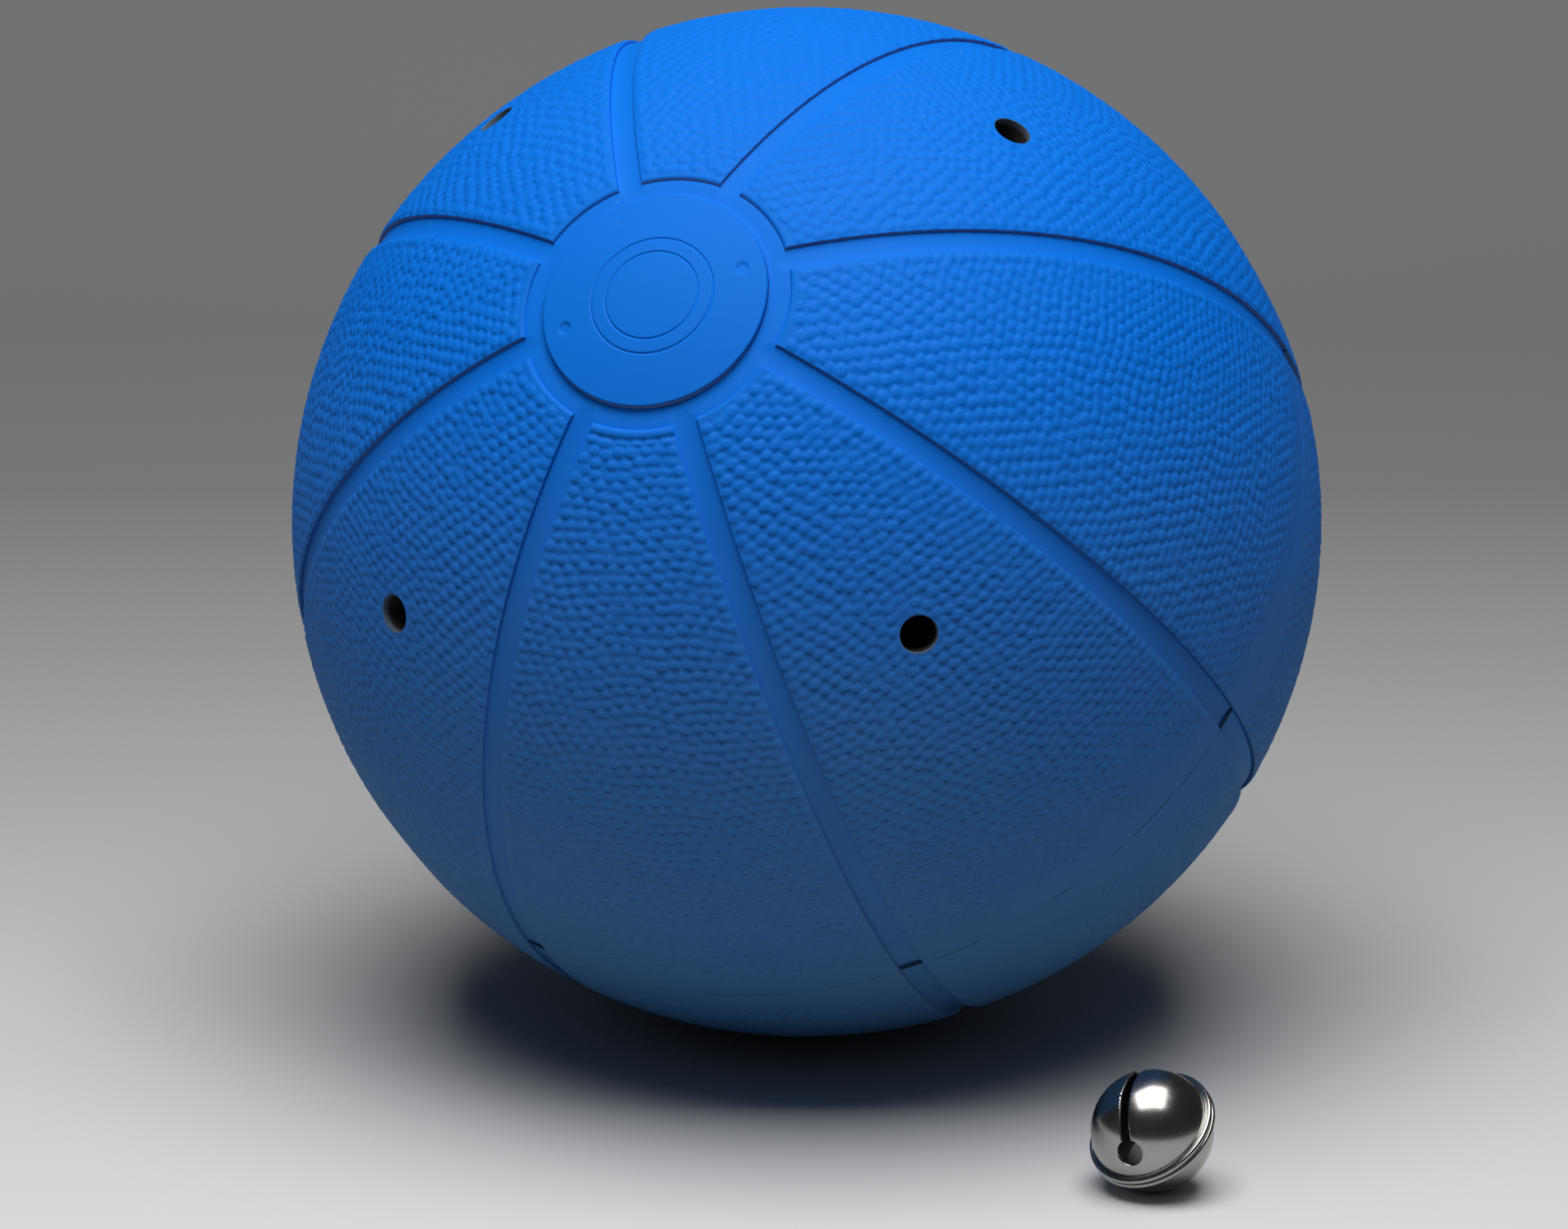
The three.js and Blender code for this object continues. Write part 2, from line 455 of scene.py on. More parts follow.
panel = {
    "coarse": 5,            # the icosphere that the gore starts from
    "cuts": 15,
    "innerCuts": 3,
    "sideRim": 0.32,        # how wide and how deep the rounded edges are
    "ringRim": 1.1,
    "seamRim": 0.12,
    "ringDrop": 0.8,
    "rimSteps": 4,
    "backDrop": 0.1,        # how far the panel's back lies inside the body's inner wall
    "backMargin": 0.3,
    "holeZone": 1.6,        # in hole radii, how far from its axis an edge is still the hole's
    "holeSmooth": 1.5,
    "holeSteps": ((0.12, 0.12, 1.0), (0.0, 0.6, 1.0), (0.0, 1.6, 0.0)),  # in, down, grain; a grain of 0 paints shade deep in the hole
    "pitch": 3.4,           # between two pebbles
    "stretch": 1.2,         # of the flat map along the gore
    "rowShare": 0.87,       # of the pitch, between two rows
    "sideMargin": 1.6,
    "ringMargin": 2.4,
    "seamMargin": 1.2,
    "domeRadius": 1.62,
    "domeHeight": 0.36,
    "flatness": 2.1,
    "topSpread": 0.1,       # how much the pebbles' heights and radii vary
    "radiusSpread": 0.06,
    "bends": ((0.9, 0.13, 0.04), (0.7, 0.31, -0.07)),   # size, turn across, turn along
    "jitter": 0.4,
    "relaxSteps": 6,
    "push": 0.3,
    "sharpness": 9.0,       # of the creases between pebbles
    "softness": 0.07,       # where pebbles meet the ground or are worn flat
    "linkShare": 0.08,      # of the neighbours that run together
    "linkReach": 1.25,      # in pitches
    "linkSlope": 0.45,
    "linkTop": 0.72,
    "linkRadius": 0.9,
    "buffFrom": 1.5,        # the grain is buffed away towards the bond line
    "buffTo": 14.0,
    "buffedLift": 0.04,
    "bareGrain": 0.7,       # the grain's value where the panel is smooth
    "sideFade": 0.9,        # from the side rim to the first full pebble
    "sideLift": 0.45,       # of a pebble's height, at the side rim
    "holeFade": (0.2, 1.4),
    "holeLift": 0.55,
    "ringFade": (-0.3, 1.0),
    "lippedFade": (0.9, 2.2),
    "lipPanel": 5,          # the one panel of a half that starts with a smooth lip
    "lip": (0.22, 0.3, 0.8),        # height, distance from the rim and width
    "groove": (0.3, 1.6, 0.4),      # depth, distance and width
}

halfPitch = pitchAngle / 2
sideNormals = [np.array((-math.sin(halfPitch), side * math.cos(halfPitch), 0.0))
               for side in (1, -1)]
backRadius = innerRadius - panel["backDrop"]
holeAxis = Vector((math.sin(holeTilt), 0, math.cos(holeTilt)))


def sideDistance(points, normal):
    # how far points lie from the channel's edge on one side, into the gore
    return -channelHalf - points @ normal


def gore(radius, cuts, side, ring, seam):
    # the part of a fine icosphere that lies between the channels, the ring and the bond line
    bm = bmesh.new()
    bmesh.ops.create_icosphere(bm, subdivisions=panel["coarse"], radius=ballRadius)
    margin = 10.0
    spare = []
    for face in bm.faces:
        middle = np.array(face.calc_center_median())
        gaps = [sideDistance(middle, normal) for normal in sideNormals]
        if min(gaps) < -margin or middle[2] < -margin:
            spare.append(face)
    bmesh.ops.delete(bm, geom=spare, context="FACES")
    bmesh.ops.subdivide_edges(bm, edges=bm.edges[:], cuts=cuts, use_grid_fill=True)
    for vert in bm.verts:
        vert.co *= ballRadius / vert.co.length
    planes = [(normal * (-channelHalf - side), normal) for normal in sideNormals]
    ringLevel = ballRadius * math.cos(ringAngle + ring / ballRadius)
    planes.append((Vector((0, 0, ringLevel)), (0, 0, 1)))
    planes.append((Vector((0, 0, shell["bondGap"] / 2 + seam)), (0, 0, -1)))
    for point, normal in planes:
        geometry = bm.verts[:] + bm.edges[:] + bm.faces[:]
        bmesh.ops.bisect_plane(bm, geom=geometry, dist=1e-4, plane_co=point, plane_no=normal,
                               clear_outer=True)
    if radius != ballRadius:
        bmesh.ops.scale(bm, vec=(radius / ballRadius,) * 3, verts=bm.verts[:])
    return bm


def fromHoleAxis(co):
    return (co - holeAxis * co.dot(holeAxis)).length


def punch(bm, radius):
    # opens a round hole about the hole's axis and sets its edge on a true circle
    reach = next(iter(bm.verts)).co.length
    spare = [f for f in bm.faces if f.calc_center_median().dot(holeAxis) > 0
             and fromHoleAxis(f.calc_center_median()) < radius]
    bmesh.ops.delete(bm, geom=spare, context="FACES")
    rim = holeEdges(bm, radius)
    for vert in {v for e in rim for v in e.verts}:
        aside = vert.co - holeAxis * vert.co.dot(holeAxis)
        aside *= radius / aside.length
        vert.co = aside + holeAxis * math.sqrt(reach ** 2 - radius ** 2)
    zone = radius * panel["holeSmooth"]
    near = [v for v in bm.verts if not v.is_boundary and fromHoleAxis(v.co) < zone
            and v.co.dot(holeAxis) > 0]
    for _ in range(4):
        bmesh.ops.smooth_vert(bm, verts=near, factor=0.5, use_axis_x=True, use_axis_y=True,
                              use_axis_z=True)
        for vert in near:
            vert.co *= reach / vert.co.length
    return rim


def holeEdges(bm, radius):
    zone = radius * panel["holeZone"]
    return [e for e in boundaryEdges(bm)
            if all(fromHoleAxis(v.co) < zone and v.co.dot(holeAxis) > 0 for v in e.verts)]


def goreMap(points):
    # flat coordinates on the gore, across it and along it from the pole; the grain is drawn out
    # across the gore, so the second one is stretched until its pebbles are round
    across = ballRadius * np.arcsin(np.clip(points[:, 1] / ballRadius, -1, 1))
    along = ballRadius * np.arctan2(points[:, 0], points[:, 2])
    return np.stack([across, along * panel["stretch"]], 1)


def goreHalf(along):
    # how far pebbles reach to either side at a place along the gore
    angle = along / panel["stretch"] / ballRadius
    edge = (channelHalf + panel["sideMargin"]) / (ballRadius * math.cos(halfPitch))
    return ballRadius * np.arctan(np.sin(angle) * math.tan(halfPitch) - edge)


def pebbleSeeds(random):
    # staggered rows straight across the gore, shaken and then spread to an even pitch
    pitch = panel["pitch"]
    stretched = panel["stretch"] * ballRadius
    start = stretched * ringAngle + panel["stretch"] * panel["ringMargin"]
    end = stretched * math.pi / 2 - panel["stretch"] * panel["seamMargin"]
    rows = round((end - start) / (pitch * panel["rowShare"]))
    seeds = []
    for row, along in enumerate(np.linspace(start, end, rows + 1)):
        half = goreHalf(along)
        count = max(2, round(2 * half / pitch + 0.5 + 0.5 * (row % 2)))
        inset = 0.25 * pitch * (1 if row % 2 else -1)
        for across in np.linspace(-half, half, count) + inset:
            bend = sum(size * math.sin(across * turnAcross + along * turnAlong)
                       for size, turnAcross, turnAlong in panel["bends"])
            seeds.append((across, along + bend))
    seeds = np.array(seeds)
    seeds += random.normal(0, panel["jitter"], seeds.shape)
    for _ in range(panel["relaxSteps"]):
        gaps = seeds[:, None] - seeds
        closest = 0.05
        away = np.maximum(np.hypot(gaps[..., 0], gaps[..., 1]), closest)
        push = np.maximum(pitch / away - 1, 0) * panel["push"]
        np.fill_diagonal(push, 0)
        seeds = seeds + (push[..., None] * gaps).sum(1)
        half = goreHalf(seeds[:, 1])
        seeds[:, 0] = np.clip(seeds[:, 0], -half, half)
        seeds[:, 1] = np.clip(seeds[:, 1], start, end)
    return seeds


def linkedPebbles(seeds, random):
    # here and there two neighbours across the gore run together into one bar
    gaps = seeds[:, None] - seeds
    reach = panel["pitch"] * panel["linkReach"]
    near = np.triu(np.hypot(gaps[..., 0], gaps[..., 1]) < reach, 1)
    first, second = np.where(near)
    gap = np.abs(seeds[second] - seeds[first])
    middle = (seeds[second] + seeds[first]) / 2
    wave = np.sin(middle[:, 1] * 0.11 + random.uniform(0, 6)) * np.sin(middle[:, 0] * 0.13 + 1.0)
    level = gap[:, 1] < gap[:, 0] * panel["linkSlope"]
    return middle[level & (random.uniform(0, 1, len(middle)) < panel["linkShare"] * (1 + wave))]


def pebbleHeights(points, seeds, links, random):
    # how high each point stands, from 0 to about 1, and the grain that its colour goes by
    flat = goreMap(points)
    centres = np.concatenate([seeds, links])
    tops = np.concatenate([random.normal(1.0, panel["topSpread"], len(seeds)),
                           np.full(len(links), panel["linkTop"])])
    radii = np.concatenate([random.normal(1.0, panel["radiusSpread"], len(seeds)),
                            np.full(len(links), panel["linkRadius"])])
    radii *= panel["domeRadius"]
    lift = np.empty(len(points))
    block = 3000            # points at a time, to spare memory
    lowest = -3
    for start in range(0, len(points), block):
        part = flat[start:start + block]
        squared = (part ** 2).sum(1)[:, None] + (centres ** 2).sum(1) - 2 * part @ centres.T
        share = np.maximum(squared, 0) / radii ** 2
        domes = np.maximum(tops - share ** panel["flatness"], lowest)
        total = np.exp(panel["sharpness"] * domes).sum(1)
        lift[start:start + block] = np.log(total) / panel["sharpness"]
    softness = panel["softness"]
    lift = np.logaddexp(0, lift / softness) * softness
    seam = ballRadius * (math.pi / 2 - np.arccos(np.clip(points[:, 2] / ballRadius, -1, 1)))
    buff = panel["buffedLift"] + 1.1 * smoothStep(panel["buffFrom"], panel["buffTo"], seam)
    lift = -np.logaddexp(-lift / softness, -buff / softness) * softness
    return lift, np.maximum(lift, panel["bareGrain"] * (1 - buff))


def ridge(away, shape):
    height, distance, width = shape
    return height * np.exp(-((away - distance) / width) ** 2)


def mouldGrain(bm, seed, withHole, lipped):
    random = np.random.default_rng(seed)
    points = coordinates(bm)
    seeds = pebbleSeeds(random)
    links = linkedPebbles(seeds, random)
    lift, shade = pebbleHeights(points, seeds, links, random)
    side = np.min([sideDistance(points, normal) for normal in sideNormals], axis=0)
    polar = np.arccos(np.clip(points[:, 2] / ballRadius, -1, 1))
    ring = ballRadius * (polar - ringAngle)
    nearSide = smoothStep(panel["sideRim"], panel["sideRim"] + panel["sideFade"], side)
    lift *= panel["sideLift"] + (1 - panel["sideLift"]) * nearSide
    if withHole:
        fromHole = np.linalg.norm(np.cross(points, np.array(holeAxis)), axis=1) - holeRadius
        clear = smoothStep(*panel["holeFade"], fromHole)
        lift = lift * clear + panel["holeLift"] * (1 - clear)
    away = ring - panel["ringRim"]
    lip = ridge(away, panel["lip"]) if lipped else 0
    groove = ridge(away, panel["groove"]) if lipped else 0
    lift *= smoothStep(*panel["lippedFade" if lipped else "ringFade"], away)
    height = shell["grainBase"] + panel["domeHeight"] * lift + lip - groove
    shade = np.maximum(shade, panel["bareGrain"] * (1 - nearSide))
    # the smooth lip is kept light as a painted highlight, and the groove beside it darkened as
    # painted shade
    setGrain(bm, np.clip(shade + 2 * lip - groove, 0, 1))
    moveTo(bm, points * (1 + height / ballRadius)[:, None])


def markRims(bm):
    # each edge vertex learns which way and how far its rounded edge runs
    outward = bm.verts.layers.float_vector.new("outward")
    drop = bm.verts.layers.float.new("drop")
    near = 1e-3
    ringTop = ballRadius * math.cos(ringAngle + panel["ringRim"] / ballRadius)
    seamLevel = shell["bondGap"] / 2 + panel["seamRim"]
    for vert in {v for e in boundaryEdges(bm) for v in e.verts}:
        way = Vector()
        drops = []
        for normal in sideNormals:
            if abs(sideDistance(np.array(vert.co), normal) - panel["sideRim"]) < near:
                way += Vector(normal) * panel["sideRim"]
                drops.append(panel["sideRim"])
        if abs(vert.co.z - ringTop) < near:
            upward = Vector((0, 0, 1)) - vert.co * (vert.co.z / vert.co.length_squared)
            way += upward.normalized() * panel["ringRim"]
            drops.append(panel["ringDrop"])
        if abs(vert.co.z - seamLevel) < near:
            way += Vector((0, 0, -panel["seamRim"]))
            drops.append(panel["seamRim"])
        vert[outward] = way
        vert[drop] = sum(drops) / max(len(drops), 1)
    return outward, drop


def extruded(bm, edges):
    made = bmesh.ops.extrude_edge_only(bm, edges=edges)["geom"]
    verts = [g for g in made if isinstance(g, bmesh.types.BMVert)]
    return verts, [g for g in made if isinstance(g, bmesh.types.BMEdge) and g.is_boundary]


def roundedRim(bm, edges, outward, drop):
    # a quarter turn over the panel's edge, then straight in to its back
    steps = panel["rimSteps"]
    for step in range(1, steps + 1):
        now = math.pi / 2 * step / steps
        before = math.pi / 2 * (step - 1) / steps
        verts, edges = extruded(bm, edges)
        for vert in verts:
            vert.co -= vert.co.normalized() * vert[drop] * (math.cos(before) - math.cos(now))
            vert.co += vert[outward] * (math.sin(now) - math.sin(before))
    verts, edges = extruded(bm, edges)
    for vert in verts:
        vert.co *= backRadius / vert.co.length
    return edges


def holeWall(bm, edges, grainLayer):
    # a punched wall: a fine worn edge, then straight down to the inner wall
    for edge in edges:
        edge.smooth = False
    faces = set(bm.faces)
    for narrower, depth, shade in panel["holeSteps"]:
        verts, edges = extruded(bm, edges)
        for vert in verts:
            along = vert.co.dot(holeAxis)
            aside = vert.co - holeAxis * along
            aside *= 1 - narrower / aside.length
            vert.co = holeAxis * (along - depth) + aside
            vert[grainLayer] = shade
    verts, edges = extruded(bm, edges)
    for vert in verts:
        aside = vert.co - holeAxis * vert.co.dot(holeAxis)
        vert.co = aside + holeAxis * math.sqrt(backRadius ** 2 - aside.length_squared)
    for face in set(bm.faces) - faces:
        face.material_index = 1
    return edges


def panelMesh(seed, withHole, lipped=False):
    bm = gore(ballRadius, panel["cuts"], panel["sideRim"], panel["ringRim"], panel["seamRim"])
    outward, drop = markRims(bm)
    if withHole:
        punch(bm, holeRadius)
    mouldGrain(bm, seed, withHole, lipped)
    hole = holeEdges(bm, holeRadius) if withHole else []
    outer = [e for e in boundaryEdges(bm) if e not in set(hole)]
    outer = roundedRim(bm, outer, outward, drop)
    if withHole:
        hole = holeWall(bm, hole, bm.verts.layers.float["grain"])
    margin = panel["backMargin"]
    inside = gore(backRadius, panel["innerCuts"], margin, margin, margin)
    if withHole:
        punch(inside, holeRadius + margin)
    insideMesh = keep(inside, "inside")
    outerKeys = set(outer)
    holeKeys = set(hole)
    bm.from_mesh(insideMesh)
    bpy.data.meshes.remove(insideMesh)
    ends = boundaryEdges(bm)
    added = [e for e in ends if e not in outerKeys and e not in holeKeys]
    zone = holeRadius * panel["holeZone"]
    addedHole = [e for e in added
                 if withHole and all(fromHoleAxis(v.co) < zone for v in e.verts)]
    addedOuter = [e for e in added if e not in set(addedHole)]
    bmesh.ops.bridge_loops(bm, edges=outer + addedOuter)
    if withHole:
        bmesh.ops.bridge_loops(bm, edges=hole + addedHole)
    bmesh.ops.recalc_face_normals(bm, faces=bm.faces[:])
    return keep(bm, "panel")


underside = {
    "litSide": (0.40, -0.10, 0.91),   # the way in the room towards the light, where less shade is painted under the pebbles
    "litShare": 0.75,
    "litSpan": (0.3, 0.85),
    "wallShadeSpan": (0.7, 0.95),
    "lowest": -0.8,
}


def markUndersides(mesh):
    # how much further down each point of a placed piece looks than the ball does there, on its
    # pebbles for painted shade under them, less so on the side that faces the light, and on the
    # walls of its channels for painted shade there
    places = np.empty(len(mesh.vertices) * 3)
    normals = np.empty(len(mesh.vertices) * 3)
    mesh.vertices.foreach_get("co", places)
    mesh.vertex_normals.foreach_get("vector", normals)
    outward = places.reshape(-1, 3) - (0, 0, ballRadius * metre)
    outward /= np.linalg.norm(outward, axis=1)[:, None]
    under = np.clip(outward[:, 2] - normals.reshape(-1, 3)[:, 2], 0, 1)
    wall = smoothStep(*underside["wallShadeSpan"], under)
    under /= np.sqrt(1 - np.clip(outward[:, 2], underside["lowest"], 0) ** 2)
    # less painted shade on the side that faces the light
    clean = smoothStep(*underside["litSpan"], outward @ np.array(underside["litSide"]))
    under *= 1 - underside["litShare"] * clean
    for name, values in (("underside", under), ("wall", wall)):
        mesh.attributes.new(name, "FLOAT", "POINT").data.foreach_set("value", values)


print("pebbled panels")
holed = [panelMesh(seed, True) for seed in (11, 12)]
plain = panelMesh(21, False)
lipped = panelMesh(22, False, lipped=True)
print("faces of a panel:", len(plain.polygons))
for half, place in halves.items():
    for index in range(shell["channels"]):
        if index % 2 == 0:
            mesh = holed[(index // 2) % 2]
        else:
            mesh = lipped if index == panel["lipPanel"] else plain
        turn = Matrix.Rotation((index + 0.5) * pitchAngle, 4, "Z")
        piece = addPiece(f"{half}_panel_{index + 1}", mesh, place @ turn, "ball",
                         [f"{half}_half_shell"], [rubber, cutRubber])
        markUndersides(piece.data)


# The body of each half: ring channel, channel floors and the inner wall

body = {
    "stepsPerChannel": 24,
    "poleRows": 8,
    "ringRows": 18,
    "channelRows": 96,
    "channelShare": 0.36,   # share of the steps on each side that follow the channel
    "followWidth": 3.4,
    "under": 2.2,           # depth under the pole disc
    "channelDepth": 1.4,
    "ringDepth": 1.45,
    "edgeDepth": 1.1,       # depth where the floor meets a panel's edge
    "edgeRise": 0.2,        # where across the ring channel its floor begins to rise
    "footHeight": 0.3,      # of the fillet beside the pole disc
    "footWidth": 0.18,      # of the ring channel's width
    "innerRow": 0.055,      # radians between rows of the inner wall
    "holeSlack": 0.5,
}


def bodyProfile():
    angles = list(np.linspace(0, discAngle * 0.9, body["poleRows"]))
    angles += list(np.linspace(discAngle * 0.93, ringAngle * 1.04, body["ringRows"]))
    seam = math.asin(shell["bondGap"] / 2 / ballRadius)
    angles += list(np.linspace(ringAngle * 1.08, math.pi / 2 - seam, body["channelRows"]))
    level = ballRadius - body["channelDepth"]
    outside = [(level * math.sin(a), level * math.cos(a)) for a in angles]
    outside[-1] = (level, shell["bondGap"] / 2)
    rows = round(math.pi / 2 / body["innerRow"])
    inside = [(innerRadius * math.sin(a), max(innerRadius * math.cos(a), shell["bondGap"] / 2))
              for a in np.linspace(math.pi / 2, 0, rows)]
    outside[0] = (0, level)
    inside[-1] = (0, innerRadius)
    return outside + inside


def bodyDepth(angle, offset):
    # depth of the floor below the ball's radius, from the pole angle and a channel's centre
    along = (angle - discAngle) / (ringAngle - discAngle)
    ringRise = (body["ringDepth"] - body["edgeDepth"]) * smoothStep(body["edgeRise"], 1, along)
    ringFloor = body["ringDepth"] - ringRise
    foot = body["footHeight"] * smoothStep(body["footWidth"], 0, along)
    share = np.minimum(np.abs(offset) / channelHalf, 1)
    rise = body["channelDepth"] - body["edgeDepth"]
    channelFloor = body["channelDepth"] - rise * share ** 2
    depth = np.maximum(ringFloor - foot, channelFloor)
    return np.where(along < -0.02, body["under"], depth)


def shellBody():
    # the profile turned about the pole, its steps gathered along the channels
    bm = spun(bodyProfile(), shell["channels"] * body["stepsPerChannel"])
    points = coordinates(bm)
    reach = np.linalg.norm(points, axis=1)
    polar = np.arccos(np.clip(points[:, 2] / reach, -1, 1))
    azimuth = np.arctan2(points[:, 1], points[:, 0])
    share = azimuth / pitchAngle
    nearest = np.round(share)
    local = share - nearest
    outer = reach > innerRadius + 1
    level = np.where(outer, reach, 1.0) * np.maximum(np.sin(polar), 1e-6)
    follow = body["channelShare"]
    offset = np.clip(local / follow, -1, 1) * body["followWidth"]
    bent = np.arcsin(np.clip(offset / np.maximum(level, 10), -1, 1))
    rest = (np.abs(local) - follow) / (0.5 - follow)
    wide = np.abs(bent) + (pitchAngle / 2 - np.abs(bent)) * np.maximum(rest, 0)
    bent = np.sign(local) * wide * (np.abs(local) > follow) + bent * (np.abs(local) <= follow)
    blend = smoothStep(discAngle, ringAngle, polar) * outer
    newAzimuth = nearest * pitchAngle + local * pitchAngle * (1 - blend) + bent * blend
    offset = level * np.sin(newAzimuth - nearest * pitchAngle)
    newReach = np.where(outer, ballRadius - bodyDepth(polar, offset), reach)
    flat = points[:, 2] <= shell["bondGap"] / 2 + 1e-3
    across = np.where(flat, newReach, newReach * np.sin(polar))
    height = np.where(flat, shell["bondGap"] / 2, newReach * np.cos(polar))
    moveTo(bm, np.stack([across * np.cos(newAzimuth), across * np.sin(newAzimuth), height], 1))
    setGrain(bm, np.full(len(points), 1.0))
    cutters = []
    beyond = 4
    for index in range(0, shell["channels"], 2):
        cutters.append(drill(holeRadius + body["holeSlack"], holeTilt, (index + 0.5) * pitchAngle,
                             innerRadius - beyond, ballRadius + beyond))
    return carve(keep(bm, "body"), cutters)


bodyMesh = shellBody()
for half, place in halves.items():
    addPiece(f"{half}_body", bodyMesh, place, "ball", [f"{half}_half_shell"],
             [rubber])


# Pole discs: a smooth raised disc with plain fine rings and two small round marks

disc = {
    "steps": 320,
    "rowStep": 0.9,
    "markRowStep": 0.2,
    "edgeSteps": 6,
    "edgeRadius": 0.45,
    "edgeTaper": 0.1,
    "closestRows": 0.08,
    "ringRadii": (11.0, 14.5),
    "ringSpan": 0.6,        # to each side of a fine ring, cut into finer rows
    "ringRows": 11,
    "ringWidth": 0.22,
    "ringDepth": 0.25,
    "markCircle": 21.5,
    "markRadius": 1.5,
    "markSlope": 0.3,
    "markDepth": 0.35,
    "foot": 2.6,
}


def discMesh():
    rounding = disc["edgeRadius"]
    flatEnd = discRadius - rounding
    markSpan = disc["markRadius"] + 0.5
    rows = set(np.arange(0, flatEnd, disc["rowStep"]))
    rows |= set(np.arange(disc["markCircle"] - markSpan, disc["markCircle"] + markSpan,
                          disc["markRowStep"]))
    for radius in disc["ringRadii"]:
        rows |= set(radius + np.linspace(-disc["ringSpan"], disc["ringSpan"], disc["ringRows"]))
    rows = sorted(r for r in rows if r < flatEnd - 0.1)
    spaced = [rows[0]]
    for row in rows[1:]:
        if row - spaced[-1] > disc["closestRows"]:
            spaced.append(row)
    profile = [(r, math.sqrt(ballRadius ** 2 - r ** 2)) for r in spaced]
    edgeLevel = math.sqrt(ballRadius ** 2 - flatEnd ** 2)
    steps = disc["edgeSteps"]
    for step in range(steps + 1):
        angle = math.pi / 2 * step / steps
        drop = rounding * (1 - math.cos(angle)) + disc["edgeTaper"] * step / steps
        profile.append((flatEnd + rounding * math.sin(angle), edgeLevel - drop))
    foot = edgeLevel - disc["foot"]
    profile += [(discRadius, foot), (0, foot)]
    bm = spun(profile, disc["steps"])
    points = coordinates(bm)
    across = np.hypot(points[:, 0], points[:, 1])
    lift = np.zeros(len(points))
    for radius in disc["ringRadii"]:
        lift -= disc["ringDepth"] * np.exp(-((across - radius) / disc["ringWidth"]) ** 2)
    for side in (1, -1):
        away = np.hypot(points[:, 0] - side * disc["markCircle"], points[:, 1])
        slopeStart = disc["markRadius"] - disc["markSlope"]
        lift -= disc["markDepth"] * (1 - smoothStep(slopeStart, disc["markRadius"], away))
    points[:, 2] += np.where(points[:, 2] > edgeLevel - 0.01, lift, 0)
    moveTo(bm, points)
    # the fine rings and round marks take painted shade in their hollows through the grain
    setGrain(bm, np.clip(0.6 + lift, 0, 1))
    return keep(bm, "disc")


print("pole discs")
discShape = discMesh()
for half, place in halves.items():
    piece = addPiece(f"{half}_disc", discShape, place, "ball", [f"{half}_half_shell"],
                     [rubber])
    markUndersides(piece.data)


# The bond line: a fine broken bead round the equator, with a fin of flash across each channel

bond = {
    "steps": 1440,
    "halfWidth": 0.32,
    "finHalfWidth": 0.55,
    "finHeight": 0.75,      # over the channel's floor
    "rounding": 0.2,
    "waves": (7, 13, 29, 53, 97, 151),      # round the equator
    "wander": 0.11,
    "sunk": 0.03,
    "brokenSpan": (0.2, -0.3),      # of the wave, over which the line darkens
    "grain": 0.4,
    "darkening": 1.2,
    "foot": 3.0,
}


def bondMesh():
    crest = ballRadius + shell["grainBase"]
    foot = ballRadius - bond["foot"]
    profile = [(foot, bond["halfWidth"])]
    for angle in np.linspace(math.pi / 2, -math.pi / 2, 7):
        profile.append((crest - bond["rounding"] + bond["rounding"] * math.cos(angle),
                        bond["halfWidth"] * math.sin(angle)))
    profile += [(foot, -bond["halfWidth"]), (foot, bond["halfWidth"])]
    bm = spun(profile, bond["steps"])
    points = coordinates(bm)
    random = np.random.default_rng(5)
    across = np.hypot(points[:, 0], points[:, 1])
    azimuth = np.arctan2(points[:, 1], points[:, 0])
    wave = np.zeros(len(points))
    for count in bond["waves"]:
        wave += np.sin(count * azimuth + random.uniform(0, 6.3)) / 2.4
    local = azimuth / pitchAngle
    offset = np.abs(local - np.round(local)) * pitchAngle * ballRadius
    inChannel = smoothStep(channelHalf + 0.2, channelHalf - 0.3, offset)
    fin = bond["finHeight"] - body["channelDepth"] - shell["grainBase"]
    shift = (1 - inChannel) * (bond["wander"] * wave - bond["sunk"]) + inChannel * fin
    outer = across > foot + 0.5
    across = across + np.where(outer, shift, 0)
    spread = 1 + inChannel * (bond["finHalfWidth"] / bond["halfWidth"] - 1)
    moveTo(bm, np.stack([across * np.cos(azimuth), across * np.sin(azimuth),
                         points[:, 2] * spread], 1))
    # the broken parting line is coloured dark, and across each channel the fin is coloured dark
    # as painted shade under it
    dark = np.maximum(smoothStep(*bond["brokenSpan"], wave), inChannel) * outer
    setGrain(bm, bond["grain"] - bond["darkening"] * dark)
    return keep(bm, "bond")


print("bond line")
addPiece("bond_line", bondMesh(), ballPlace, "ball", ["upper_half_shell"],
         [rubber])


# Jingle bells: two pressed cups crimped together over a loose pellet

bell = {
    "radius": 14.0,
    "sheet": 0.8,
    "crimpRadius": 15.3,
    "beadRadius": 0.66,
    "seam": 0.3,
    "slotWidth": 2.3,
    "keyholeDiameter": 6.2,
    "keyholeAngle": 57.5,
    "steps": 128,
    "domeRows": 36,
    "beadRows": 12,
    "beadFrom": 150,        # degrees round the crimp's bead
    "beadTo": -90,
    "innerRows": 20,
    "innerSlotTurn": 35.0,
    "sample": (78.1, -129.7, 14.0),
    "sampleLean": 40.2,     # how the sample bell lies, in degrees
    "sampleTurn": -44.8,
    "sampleSpin": -65.0,
}


def dullInside(mesh, inner):
    # gives the faces of a cup's inner wall the second material
    for face in mesh.polygons:
        if face.center.length < inner + 0.05:
            face.material_index = 1
    return mesh


